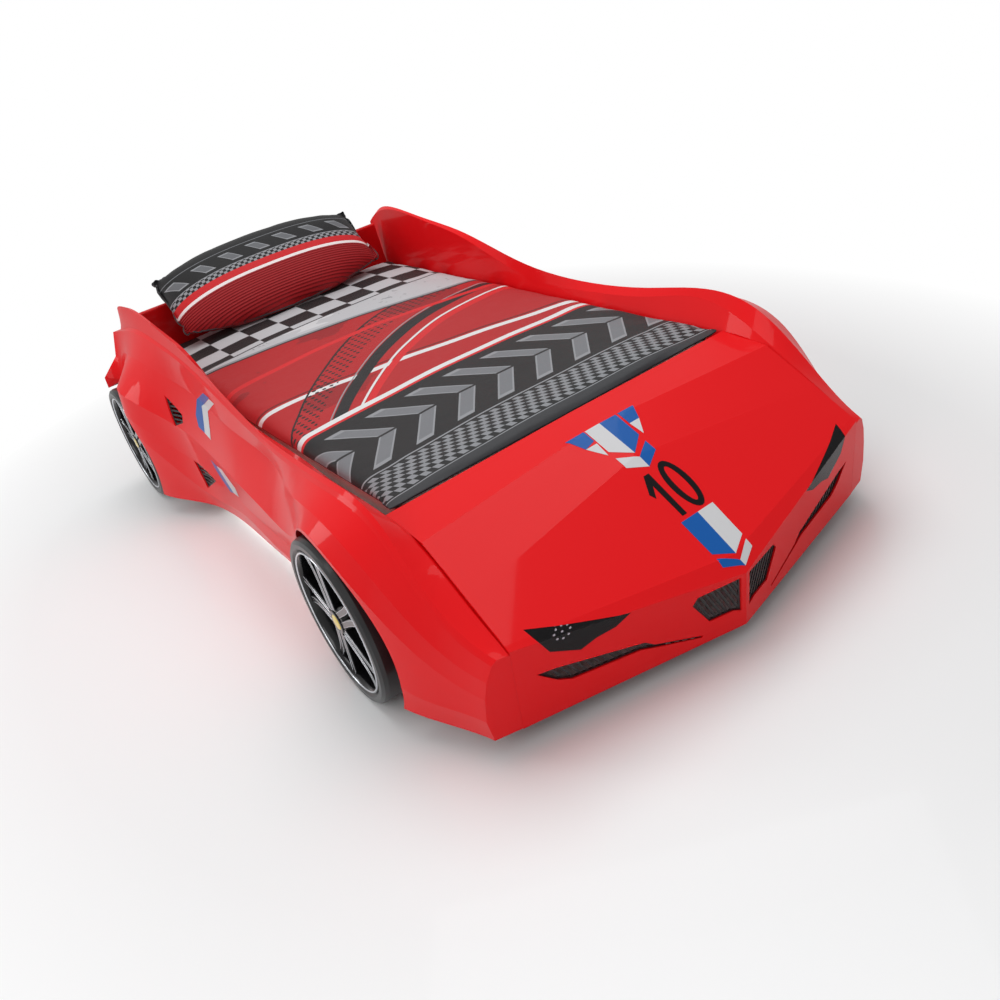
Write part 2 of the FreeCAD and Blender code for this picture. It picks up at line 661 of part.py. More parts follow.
def hood_rib(side, sign):
    """Upright rib under the hood, from the foot board forwards, cut to the hood's slope."""
    body = doc.addObject("PartDesign::Body", f"rib_body_{side}")
    under = sheet.skin + sheet.gap * 4
    start, front = foot_front_y - sheet.gap, nose_y + sheet.rib_front_back
    share = sheet.rib_out / board_out

    def between(mid, side_value):
        return mid + (side_value - mid) * share

    knee_y = nose_y + between(sheet.knee_mid_back, sheet.knee_side_back)
    knee_z = between(sheet.hood_knee_mid, sheet.hood_knee_side) - under
    slope_y = nose_y + between(sheet.slope_mid_back, sheet.slope_side_back)
    slope_z = between(sheet.hood_slope_mid, sheet.hood_slope_side) - under
    brow_y = nose_y + between(sheet.brow_mid_back, sheet.brow_side_back)
    brow_z = between(sheet.hood_brow_mid, sheet.hood_brow_side) - under
    front_z = slope_z + (brow_z - slope_z) * ((front - slope_y) / (brow_y - slope_y))
    low = sheet.board_low * 2
    corners = [(start, low), (start, knee_z), (knee_y, knee_z), (slope_y, slope_z), (front, front_z),
               (front, front_z - 90), (front + 120, low)]
    padded(body, f"rib_pad_{side}", "YZ_Plane", [corners], sheet.board_thick, True)
    place(body, sheet.rib_out * sign, sheet.gap * 0, sheet.gap * 0)
    keep(body, f"hood_rib_{side}")


def support_rail(side, sign):
    """Timber cleat on the side board, under the ends of the slats."""
    near, far = well_half - sheet.rail_wide - sheet.gap, well_half - sheet.gap
    low_x, high_x = (near, far) if sign > 0 else (-far, -near)
    start, end = well_front_y + sheet.gap, head_front_y - sheet.gap
    rail = block(f"rail_{side}", (low_x, start, rail_high - sheet.rail_tall), (high_x, end, rail_high))
    keep(rail, f"support_rail_{side}")


for side, sign in SIDES:
    skin_bolts(side, sign)
    hood_rib(side, sign)
    support_rail(side, sign)

beam_low = rail_high - sheet.beam_tall
beam_half = sheet.beam_wide / 2
stirrup = sheet.stirrup_wall
keep(block("beam", (-beam_half, well_front_y + stirrup + sheet.gap * 2, beam_low),
           (beam_half, head_front_y - stirrup - sheet.gap * 2, rail_high)), "centre_beam")


def beam_stirrup(name, wall_y, sign):
    """Steel stirrup screwed to an end board, in which an end of the middle beam lies."""
    wide = beam_half + stirrup + sheet.gap
    low, high = beam_low - stirrup - sheet.gap, rail_high - 12
    inner, outer = wall_y + sheet.gap * sign, wall_y + sheet.stirrup_long * sign
    near, far = (inner, outer) if sign > 0 else (outer, inner)
    blank = block(f"{name}_blank", (-wide, near, low), (wide, far, high))
    room_near = near + stirrup if sign > 0 else near - 5
    room_far = far + 5 if sign > 0 else far - stirrup
    room = block(f"{name}_room", (-wide + stirrup, room_near, low + stirrup), (wide - stirrup, room_far, high + 5))
    return cut(name, blank, room)


keep(group("stirrups", [beam_stirrup("foot_stirrup", well_front_y, 1),
                        beam_stirrup("head_stirrup", head_front_y, -1)]), "beam_stirrups")

leg_places = [well_front_y + sheet.leg_inset, head_front_y - sheet.leg_inset]
keep(group("legs", [block(f"leg_{k}", (-beam_half, y - beam_half, sheet.leg_glide_tall + sheet.gap),
                          (beam_half, y + beam_half, beam_low - sheet.gap))
                    for k, y in enumerate(leg_places)]), "centre_legs")

zero = sheet.gap * 0
glides = [rod(f"leg_glide_{k}", sheet.leg_glide_radius, sheet.leg_glide_tall, (zero, y, zero))
          for k, y in enumerate(leg_places)]
glide_start, glide_end = well_front_y + sheet.glide_inset, head_front_y - sheet.glide_inset
for side, sign in SIDES:
    for k in range(3):
        y = glide_start + (glide_end - glide_start) * (k / 2)
        glides.append(rod(f"glide_{side}_{k}", sheet.glide_radius, sheet.board_low - sheet.gap,
                          (end_bolt_x * sign, y, zero)))
keep(group("glides", glides), "floor_glides")

slat_half = well_half - sheet.gap * 2
slat_span = sheet.mattress_length - sheet.slat_wide
slats = []
for k in range(SLATS):
    start = well_front_y + sheet.end_slack + slat_span * (k / (SLATS - 1))
    slats.append(block(f"slat_{k}", (-slat_half, start, rail_high + sheet.gap),
                       (slat_half, start + sheet.slat_wide, sheet.slat_top)))
keep(group("slats", slats), "bed_slats")

# ------------------------------------------------------------------------------------------------- bedding

mattress_half = sheet.mattress_width / 2
mattress_start = well_front_y + sheet.end_slack
mattress_blank = block("mattress_blank", (-mattress_half, mattress_start, mattress_low),
                       (mattress_half, mattress_start + sheet.mattress_length, mattress_high))
mattress = doc.addObject("Part::Fillet", "mattress_body")
mattress.Base = mattress_blank
mattress.Edges = [(k, sheet.mattress_round.value, sheet.mattress_round.value) for k in range(1, 13)]
keep(mattress, "mattress")


def quilt():
    """Quilt tucked along the sides: thin over the hood's edge, plump towards the pillow, crowned across."""
    low = quilt_low.value
    start, end = mattress_start.value + 1, mattress_start.value + sheet.mattress_length.value - 1
    front, rear = sheet.quilt_front_thick.value, sheet.quilt_rear_thick.value
    half = mattress_half.value + 4
    edge = sheet.quilt_edge.value
    wires = []
    for along, plump in ((0, 0), (0.04, 0.3), (0.3, 0.6), (0.6, 0.9), (0.97, 1), (1, 0.62)):
        y = start + (end - start) * along
        top = low + front + (rear - front) * plump
        drop = sheet.quilt_drop.value * (0.4 + 0.6 * plump)
        left, right = Vector(-half, y, low + edge * 0.5), Vector(half, y, low + edge * 0.5)
        left_top, right_top = Vector(-half + edge, y, top - drop), Vector(half - edge, y, top - drop)
        left_low, right_low = Vector(-half + edge, y, low), Vector(half - edge, y, low)
        bulge = 0.3 * edge
        wires.append(Part.Wire([
            Part.LineSegment(left_low, right_low).toShape(),
            Part.LineSegment(right_low, right).toShape(),
            Part.Arc(right, Vector(half - bulge, y, (right.z + right_top.z) / 2 + bulge), right_top).toShape(),
            Part.Arc(right_top, Vector(0, y, top), left_top).toShape(),
            Part.Arc(left_top, Vector(-half + bulge, y, (left.z + left_top.z) / 2 + bulge), left).toShape(),
            Part.LineSegment(left, left_low).toShape()]))
    return Part.makeLoft(wires, True, True)


def pillow():
    """Pillow leaning on the headboard: crowned in the middle, drawn in towards its corners."""
    wide, tall, thick = sheet.pillow_width.value, sheet.pillow_tall.value, sheet.pillow_thick.value
    wires = []
    for share in (-1, -0.85, -0.5, 0, 0.5, 0.85, 1):
        high = tall * (0.74 + 0.26 * math.cos(share * math.pi / 2))
        deep = thick * (0.2 + 0.8 * math.sqrt(1 - share ** 4))
        corners = []
        for k in range(12):
            turn = math.tau * k / 12
            round_off = 1 - 0.35 * abs(math.sin(turn)) ** 3
            corners.append(Vector(share * wide / 2, deep / 2 * math.cos(turn) * round_off, high / 2 * math.sin(turn)))
        wires.append(closed_wire(corners))
    shape = Part.makeLoft(wires, True, True)
    shape.rotate(Vector(0, 0, 0), Vector(1, 0, 0), -sheet.pillow_lean.value)
    high = (quilt_low + sheet.quilt_rear_thick + sheet.gap).value
    shape.translate(Vector(0, 0, high - shape.BoundBox.ZMin))
    below = shape.common(slab((-600, -600, 0), (600, 600, sheet.head_high.value)))
    shape.translate(Vector(0, head_front_y.value - sheet.gap.value - below.BoundBox.YMax, 0))
    return shape


keep(solid("quilt", quilt()), "quilt")
keep(solid("pillow", pillow()), "pillow")

# -------------------------------------------------------------------------------------------------- wheels


def wheel_body(name, x_sign, y, inner_x):
    """A body whose own Z axis points outboard from inner_x at a wheel's centre."""
    body = doc.addObject("PartDesign::Body", name)
    body.Placement = Placement(Vector(), Rotation(Vector(0, 1, 0), 90 * x_sign))
    place(body, inner_x * x_sign, y, axle_z)
    return body


def tyre(name, x_sign, y, inner_x):
    """Tyre with a flat tread, rounded shoulders and a slightly bulging wall above the bead."""
    body = wheel_body(name, x_sign, y, inner_x)
    wide, outer, bead, soft = sheet.tyre_wide, sheet.tyre_radius, sheet.tyre_bead, sheet.tyre_shoulder
    corners = [(bead, zero), (bead, wide - soft * 0.4), (bead + soft * 0.4, wide), (outer - soft * 0.7, wide),
               (outer - soft * 0.2, wide - soft * 0.35), (outer, wide - soft), (outer, zero + soft * 0.6),
               (outer - soft * 0.6, zero)]
    turned(body, name + "_ring", corners)
    return body


def rim(name, x_sign, y, inner_x):
    """Deep-dish rim: barrel with a lip, closed back and five double spokes behind the lip."""
    body = wheel_body(name, x_sign, y, inner_x)
    outer = sheet.tyre_bead - sheet.gap
    wall, face = sheet.rim_wall, sheet.tyre_wide - sheet.rim_inset
    back = zero + 8
    dish = face - sheet.dish_depth
    hub = sheet.hub_radius
    corners = [(zero, back), (outer, back), (outer, face), (outer - wall * 2, face),
               (outer - wall * 3, dish), (outer - wall * 3, back + wall), (hub, back + wall),
               (hub, dish + 2), (zero, dish + 2)]
    turned(body, name + "_barrel", corners)
    half = sheet.spoke_wide / 2
    start, end = hub - 5, outer - wall * 2.5
    bend = start + (end - start) * 0.55
    run = ((sheet.spoke_root_gap, start), (sheet.spoke_mid_gap, bend), (sheet.spoke_tip_gap, end))
    bars = [[(gap * way - half, reach) for gap, reach in run] + [(gap * way + half, reach) for gap, reach in run[::-1]]
            for way in (-1, 1)]
    sketch = outline(body, name + "_spokes", "XY_Plane", bars)
    sketch.AttachmentOffset = Placement(Vector(0, 0, 1), Rotation())
    sketch.setExpression("AttachmentOffset.Base.z", (dish - sheet.spoke_thick).formula)
    pad = body.newObject("PartDesign::Pad", name + "_pair")
    pad.Profile = sketch
    bind(pad, Length=sheet.spoke_thick)
    ring = body.newObject("PartDesign::PolarPattern", name + "_ring")
    ring.Originals = [pad]
    ring.Axis = (sketch, ["N_Axis"])
    ring.Angle = 360
    ring.Occurrences = SPOKES
    body.Tip = ring
    return body


def hub_cap(name, x_sign, y, inner_x):
    """Small domed cap pressed on the middle of the rim."""
    body = wheel_body(name, x_sign, y, inner_x)
    seat = sheet.tyre_wide - sheet.rim_inset - sheet.dish_depth + 2 + sheet.gap
    radius, tall = sheet.hub_cap_radius, sheet.hub_cap_tall
    corners = [(zero, seat), (radius, seat), (radius, seat + tall * 0.4), (radius * 0.7, seat + tall),
               (zero, seat + tall)]
    turned(body, name + "_dome", corners)
    return body


def wheel_mount(name, x_sign, y):
    """Round spacer between the pocket's back wall and the rim."""
    start = skin_in + sheet.well_deep + sheet.gap
    thick = wheel_face_x - sheet.tyre_wide + 8 - sheet.gap - start
    low_x = start if x_sign > 0 else -start - thick
    return rod(name, sheet.mount_radius, thick, (low_x, y, axle_z), "x")


for side, sign in SIDES:
    caps, mounts = [], []
    for end, axle_y in (("front", front_axle_y), ("rear", rear_axle_y)):
        tag = f"{end}_{side}"
        inner = wheel_face_x - sheet.tyre_wide
        keep(tyre(f"tyre_{tag}_body", sign, axle_y, inner), f"tyre_{tag}")
        keep(rim(f"rim_{tag}_body", sign, axle_y, inner), f"rim_{tag}")
        caps.append(hub_cap(f"cap_{tag}_body", sign, axle_y, inner))
        mounts.append(wheel_mount(f"mount_{tag}", sign, axle_y))
    keep(group(f"caps_{side}", caps), f"hub_caps_{side}")
    keep(group(f"mounts_{side}", mounts), f"wheel_mounts_{side}")

# ------------------------------------------------------------------------------------------------ lighting

middle_y = (well_front_y + head_front_y) / 2
for side, sign in SIDES:
    near, far = skin_in, skin_in + sheet.light_wide
    low_x, high_x = (near, far) if sign > 0 else (-far, -near)
    half = sheet.light_long / 2
    keep(block(f"light_{side}", (low_x, middle_y - half, sheet.light_low),
               (high_x, middle_y + half, sheet.light_low + sheet.light_tall)), f"floor_light_{side}")

driver_half = sheet.driver_wide / 2
driver_y = head_rear_y + sheet.gap
driver = block("driver", (-driver_half, driver_y, sheet.driver_low),
               (driver_half, driver_y + sheet.driver_deep, sheet.driver_low + sheet.driver_tall))
keep(driver, "light_control_box")
inlet_y = driver_y + sheet.driver_deep / 2
inlet_z = sheet.driver_low - sheet.inlet_long - sheet.gap
inlet = rod("inlet_barrel", sheet.inlet_radius, sheet.inlet_long, (zero, inlet_y, inlet_z))
bore = rod("inlet_bore_hole", sheet.inlet_bore, sheet.inlet_long - 2, (zero, inlet_y, inlet_z - 1))
keep(cut("inlet", inlet, bore), "power_inlet")

# --------------------------------------------------------------------------------------- check and write out

doc.recompute()
faults = [item.Name for item in doc.Objects if {"Invalid", "Error"} & set(item.State)]
for piece in pieces:
    if piece.Shape.isNull() or not piece.Shape.isValid() or not piece.Shape.Solids:
        faults.append(piece.Label)
if faults:
    raise RuntimeError("these objects failed: " + ", ".join(faults))

os.makedirs("parts", exist_ok=True)
for piece in pieces:
    piece.Shape.exportStep(os.path.join("parts", piece.Label + ".step"))
print(len(pieces), "pieces written")
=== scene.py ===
import math

import bmesh
import bpy
import numpy as np
from mathutils import Matrix, Vector, noise
from mathutils.bvhtree import BVHTree


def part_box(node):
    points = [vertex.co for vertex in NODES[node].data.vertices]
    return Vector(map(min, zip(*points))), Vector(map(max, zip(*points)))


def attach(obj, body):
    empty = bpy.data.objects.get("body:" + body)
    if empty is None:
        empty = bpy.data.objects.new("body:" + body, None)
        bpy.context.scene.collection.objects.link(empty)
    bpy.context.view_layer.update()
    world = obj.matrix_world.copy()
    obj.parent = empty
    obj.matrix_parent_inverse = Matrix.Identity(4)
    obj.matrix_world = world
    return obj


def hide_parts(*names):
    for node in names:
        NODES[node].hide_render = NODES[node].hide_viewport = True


# Looks of the red car bed. Metres, +Z up, the hood towards -Y, the camera at the car's front right corner.

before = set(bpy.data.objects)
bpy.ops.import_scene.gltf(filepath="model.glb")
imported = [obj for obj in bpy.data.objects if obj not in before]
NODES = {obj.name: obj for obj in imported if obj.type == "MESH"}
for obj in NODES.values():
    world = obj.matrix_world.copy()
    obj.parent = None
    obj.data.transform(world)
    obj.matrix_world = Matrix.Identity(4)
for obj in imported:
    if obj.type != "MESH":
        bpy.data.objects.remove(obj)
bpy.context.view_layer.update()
SIDES = (("right", -1), ("left", 1))

# ------------------------------------------------------------------------------------------ shader helpers


class Signal:
    """A number inside a shader: arithmetic on signals adds math nodes to the same tree."""

    def __init__(self, tree, socket):
        self.tree, self.socket = tree, socket

    def math(self, operation, *others, clamp=False):
        node = self.tree.nodes.new("ShaderNodeMath")
        node.operation = operation
        node.use_clamp = clamp
        for slot, value in zip(node.inputs, (self, *others)):
            if isinstance(value, Signal):
                self.tree.links.new(value.socket, slot)
            else:
                slot.default_value = value
        return Signal(self.tree, node.outputs[0])

    def __add__(self, other):
        return self.math("ADD", other)

    def __sub__(self, other):
        return self.math("SUBTRACT", other)

    def __mul__(self, other):
        return self.math("MULTIPLY", other)

    def __truediv__(self, other):
        return self.math("DIVIDE", other)

    def above(self, edge):
        return self.math("GREATER_THAN", edge)

    def below(self, edge):
        return self.math("LESS_THAN", edge)

    def between(self, low, high):
        return self.above(low) * self.below(high)

    def size(self):
        return self.math("ABSOLUTE")

    def floor(self):
        return self.math("FLOOR")

    def fract(self):
        return self.math("FRACT")

    def sine(self):
        return self.math("SINE")

    def inverse(self):
        return self.math("MULTIPLY_ADD", -1.0, 1.0)

    def either(self, other):
        return self.math("MAXIMUM", other)


def srgb(red, green, blue):
    """Linear colour of a screen colour given in 0..255."""
    return tuple(((v / 255 + 0.055) / 1.055) ** 2.4 if v > 10 else v / 255 / 12.92 for v in (red, green, blue)) + (1,)


class Shader:
    """A Principled material with shortcuts for places, noise, colour layers and bumps."""

    def __init__(self, name, color, roughness=0.5, **values):
        self.material = bpy.data.materials.new(name)
        self.material.use_nodes = True
        self.tree = self.material.node_tree
        self.surface = self.tree.nodes["Principled BSDF"]
        self.material.diffuse_color = color
        self.surface.inputs["Base Color"].default_value = color
        self.surface.inputs["Roughness"].default_value = roughness
        for key, value in values.items():
            self.surface.inputs[key.replace("_", " ")].default_value = value

    def place(self):
        node = self.tree.nodes.new("ShaderNodeTexCoord")
        split = self.tree.nodes.new("ShaderNodeSeparateXYZ")
        self.tree.links.new(node.outputs["Object"], split.inputs[0])
        return tuple(Signal(self.tree, output) for output in split.outputs)

    def noise(self, scale, detail=3.0, stretch=(1, 1, 1)):
        coord = self.tree.nodes.new("ShaderNodeTexCoord")
        shift = self.tree.nodes.new("ShaderNodeMapping")
        shift.inputs["Scale"].default_value = stretch
        node = self.tree.nodes.new("ShaderNodeTexNoise")
        node.inputs["Scale"].default_value = scale
        node.inputs["Detail"].default_value = detail
        self.tree.links.new(coord.outputs["Object"], shift.inputs[0])
        self.tree.links.new(shift.outputs[0], node.inputs["Vector"])
        return Signal(self.tree, node.outputs[0])

    def paint(self, layers):
        """Lay colours over the base one after another, each where its mask is 1."""
        under = self.surface.inputs["Base Color"].default_value[:]
        for mask, color in layers:
            mix = self.tree.nodes.new("ShaderNodeMix")
            mix.data_type = "RGBA"
            self.tree.links.new(mask.socket, mix.inputs["Factor"])
            if isinstance(under, tuple):
                mix.inputs[6].default_value = under
            else:
                self.tree.links.new(under, mix.inputs[6])
            mix.inputs[7].default_value = color
            under = mix.outputs[2]
        self.tree.links.new(under, self.surface.inputs["Base Color"])

    def bump(self, height, distance):
        node = self.tree.nodes.new("ShaderNodeBump")
        node.inputs["Strength"].default_value = 1.0
        node.inputs["Distance"].default_value = distance
        self.tree.links.new(height.socket, node.inputs["Height"])
        self.tree.links.new(node.outputs[0], self.surface.inputs["Normal"])


THREADS = 2600  # radians per metre of the printed cotton's weave
THREAD_RISE = 0.00012


def gloss(name, color, roughness=0.18, coat=0.6, shine=0.5):
    """Moulded plastic or film with a clear coat."""
    return Shader(name, color, roughness, Coat_Weight=coat, Coat_Roughness=0.04, Coat_IOR=1.4,
                  Specular_IOR_Level=shine).material


def woven(name, color):
    """Plain cloth with crossed threads."""
    shader = Shader(name, color, 0.85, Sheen_Weight=0.15)
    x, y, _ = shader.place()
    threads = (x * 3400).sine() * (y * 3400).sine()
    shader.bump(threads, 0.00025)
    return shader.material


def timber(name):
    """Pale softwood with darker streaks along X."""
    shader = Shader(name, srgb(214, 182, 132), 0.6)
    grain = shader.noise(9, 5, (1, 14, 14))
    shader.paint([(grain.above(0.56), srgb(196, 160, 108))])
    return shader.material


body_red = gloss("body_red", srgb(222, 16, 22), 0.4, 0.3, 0.05)
panel_red = gloss("panel_red", srgb(196, 14, 18), 0.4, 0.25, 0.05)
lens_dark = Shader("lens_dark", srgb(70, 66, 70), 0.05, Transmission_Weight=0.92, IOR=1.25).material
cup_dark = gloss("cup_dark", srgb(26, 26, 28), 0.3)


LIGHT_RADIUS = 0.0026  # of each white point
LIGHT_RING = 0.0165  # radius of the ring of points
LIGHT_COUNT = 8
LIGHT_STEP = 0.0130  # from one point of the ring to the next, along it


def lamp_lights():
    """Dark disc with a white point in the middle of each dome: one in the centre and eight round it."""
    shader = Shader("lamp_lights", srgb(24, 24, 27), 0.35)
    x, _, z = shader.place()
    low, high = (Vector(v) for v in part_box("headlight_leds_left"))
    middle = (low + high) / 2
    across = (x.size() - middle.x) * 1.035
    up = (z - middle.z) * 1.04
    reach = (across * across + up * up).math("SQRT")
    turn = across.math("ARCTAN2", up) * (LIGHT_COUNT / math.tau)
    along = ((turn + 0.5).fract() - 0.5) * LIGHT_STEP
    off = reach - LIGHT_RING
    dot = (along * along + off * off).below(LIGHT_RADIUS ** 2).either(reach.below(LIGHT_RADIUS))
    shader.paint([(dot, srgb(240, 244, 250))])
    shader.tree.links.new((dot * 6.0).socket, shader.surface.inputs["Emission Strength"])
    shader.surface.inputs["Emission Color"].default_value = (1, 1, 1, 1)
    return shader.material


led_white = lamp_lights()
mesh_black = Shader("mesh_black", srgb(22, 22, 24), 0.45).material
board_white = Shader("board_white", srgb(232, 230, 224), 0.45).material
wood = timber("softwood")
steel = Shader("zinc_steel", srgb(180, 182, 186), 0.35, Metallic=1.0).material
plastic_black = Shader("plastic_black", srgb(24, 24, 26), 0.45).material
tyre_black = Shader("tyre_black", srgb(20, 20, 22), 0.38, Coat_Weight=0.15).material
rim_dark = Shader("rim_dark", srgb(14, 14, 16), 0.2, Coat_Weight=0.25, Specular_IOR_Level=0.35).material
cap_yellow = gloss("cap_yellow", srgb(226, 196, 40), 0.3)
strip_white = Shader("strip_white", (1, 1, 1, 1), 0.4, Emission_Strength=3.0,
                     Emission_Color=(1, 0.96, 0.95, 1)).material
ticking = woven("mattress_ticking", srgb(238, 236, 230))

LOOKS = {
    "side_skin": body_red, "hood": body_red, "headboard": panel_red,
    "headlight_lens": lens_dark, "headlight_bowl": cup_dark, "headlight_leds": led_white,
    "vent_mesh": mesh_black, "centre_grille": mesh_black, "intake_mesh": mesh_black,
    "side_board": board_white, "foot_board": board_white, "hood_rib": board_white,
    "support_rail": wood, "centre_beam": wood, "centre_legs": wood, "bed_slats": wood,
    "skin_bolts": steel, "foot_board_bolts": steel, "headboard_bolts": steel, "beam_stirrups": steel,
    "floor_glides": plastic_black, "wheel_mounts": plastic_black, "light_control_box": plastic_black,
    "power_inlet": plastic_black, "mattress": ticking, "quilt": ticking, "pillow": ticking,
    "tyre": tyre_black, "rim": rim_dark, "hub_caps": cap_yellow, "floor_light": strip_white,
}

for node_name, node in NODES.items():
    look = max((key for key in LOOKS if node_name.startswith(key)), key=len)
    node.data.materials.clear()
    node.data.materials.append(LOOKS[look])

# --------------------------------------------------------------------------------------------- mesh helpers


def add_mesh(name, verts, faces, materials=(), smooth=True):
    mesh = bpy.data.meshes.new(name)
    mesh.from_pydata([tuple(v) for v in verts], [], faces)
    mesh.update()
    if smooth:
        mesh.shade_smooth()
    for material in materials:
        mesh.materials.append(material)
    piece = bpy.data.objects.new(name, mesh)
    bpy.context.scene.collection.objects.link(piece)
    return piece


def closed_pad(name, cols, rows, place):
    """Two panels joined along their rim; place(u, v, face) gives a point, with u and v from -1 to 1."""
    index, verts = {}, []

    def key(i, j, face):
        return (i, j, 0 if i in (0, cols) or j in (0, rows) else face)

    for face in (1, -1):
        for j in range(rows + 1):
            for i in range(cols + 1):
                spot = key(i, j, face)
                if spot not in index:
                    index[spot] = len(verts)
                    verts.append(place(2 * i / cols - 1, 2 * j / rows - 1, spot[2]))
    faces = []
    for face in (1, -1):
        for j in range(rows):
            for i in range(cols):
                loop = [index[key(a, b, face)] for a, b in ((i, j), (i + 1, j), (i + 1, j + 1), (i, j + 1))]
                faces.append(loop[::face])
    rim = [(i, 0) for i in range(cols)] + [(cols, j) for j in range(rows)]
    rim += [(i, rows) for i in range(cols, 0, -1)] + [(0, j) for j in range(rows, 0, -1)]
    return add_mesh(name, verts, faces), [index[key(i, j, 0)] for i, j in rim]


def points_of(piece):
    flat = np.empty(len(piece.data.vertices) * 3)
    piece.data.vertices.foreach_get("co", flat)
    return flat.reshape(-1, 3)


def set_points(piece, points):
    piece.data.vertices.foreach_set("co", np.asarray(points).ravel())
    piece.data.update()


def fill_out(piece, pressure, frames, cap, shrink):
    """Let a closed pad swell as cloth under pressure, with no gravity; no point moves further than cap."""
    start = points_of(piece)
    cloth = piece.modifiers.new("cloth", "CLOTH")
    cloth.point_cache.frame_end = frames
    cloth.settings.quality = 5
    cloth.settings.mass = 0.3
    cloth.settings.use_pressure = True
    cloth.settings.uniform_pressure_force = pressure
    cloth.settings.shrink_min = shrink
    cloth.settings.tension_stiffness = 12
    cloth.settings.bending_stiffness = 0.4
    cloth.settings.effector_weights.gravity = 0
    scene = bpy.context.scene
    for frame_number in range(1, frames + 1):
        scene.frame_set(frame_number)
    settled = piece.evaluated_get(bpy.context.evaluated_depsgraph_get())
    flat = np.empty(len(settled.data.vertices) * 3)
    settled.data.vertices.foreach_get("co", flat)
    move = flat.reshape(-1, 3) - start
    length = np.linalg.norm(move, axis=1, keepdims=True)
    move *= np.minimum(1, cap / np.maximum(length, 1e-9))
    piece.modifiers.remove(cloth)
    scene.frame_set(1)
    set_points(piece, start + move)


def ripple(points, scale, seed):
    """Smooth noise in -1..1 at each point."""
    return np.array([noise.noise(Vector(p) * scale + Vector((seed, seed, seed))) for p in points])


def divide(piece):
    """Round a pad off by one level of subdivision."""
    smooth = piece.modifiers.new("smooth", "SUBSURF")
    smooth.levels = smooth.render_levels = 1


def tubes(name, lines, material, body):
    """Round edgings, each along a line of points with its radius; closed ones end where they start."""
    curve = bpy.data.curves.new(name, "CURVE")
    curve.dimensions, curve.bevel_depth, curve.bevel_resolution, curve.use_fill_caps = "3D", 1, 1, True
    for points, radius, closed in lines:
        spline = curve.splines.new("POLY")
        spline.points.add(len(points) - 1)
        for spot, point in zip(spline.points, points):
            spot.co, spot.radius = (*point, 1), radius
        spline.use_cyclic_u = closed
    wire = bpy.data.objects.new(name + "_line", curve)
    mesh = bpy.data.meshes.new_from_object(wire)
    bpy.data.objects.remove(wire)
    mesh.polygons.foreach_set("use_smooth", [True] * len(mesh.polygons))
    mesh.materials.clear()
    mesh.materials.append(material)
    piece = bpy.data.objects.new(name, mesh)
    bpy.context.scene.collection.objects.link(piece)
    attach(piece, body)
    return piece


def ease(value):
    """Maps -1..1 on itself with finer steps towards both ends."""
    return value * (1.5 - 0.5 * value * value)


# ------------------------------------------------------------------------------------------------- bedding

QUILT_LOW, QUILT_HIGH = (Vector(v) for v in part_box("quilt"))
QUILT_HALF = QUILT_HIGH.x + 0.0105  # half its width, pressed against the sides
QUILT_FOOT, QUILT_HEAD = QUILT_LOW.y + 0.001, QUILT_HIGH.y - 0.001
QUILT_UNDER = 0.0005  # height of its lower face over what it lies on
QUILT_SEAM = 0.0065  # height of its rim
PLUMP = ((0, 0.0), (0.04, 0.3), (0.3, 0.6), (0.6, 0.9), (0.97, 1.0), (1, 0.62))  # fullness by share of length


def quilt_top(x, y):
    """Height of the quilt's upper face before it fills out: thin at the foot, plump towards the pillow."""
    along = (y - QUILT_FOOT) / (QUILT_HEAD - QUILT_FOOT)
    plump = float(np.interp(along, [p[0] for p in PLUMP], [p[1] for p in PLUMP]))
    crown = 0.012 * (0.4 + 0.6 * plump) * (x / QUILT_HALF) ** 2
    return 0.0095 + 0.036 * plump - crown


def quilt_place(u, v, face):
    x = ease(u) * QUILT_HALF
    y = (QUILT_FOOT + QUILT_HEAD) / 2 + ease(v) * (QUILT_HEAD - QUILT_FOOT) / 2
    edge = (1 - abs(ease(u)) ** 40) ** 0.5 * (1 - abs(ease(v)) ** 60) ** 0.5
    lift = quilt_top(x, y) * edge if face > 0 else QUILT_UNDER
    return x, y, QUILT_LOW.z + max(lift, QUILT_SEAM if face == 0 else QUILT_UNDER)


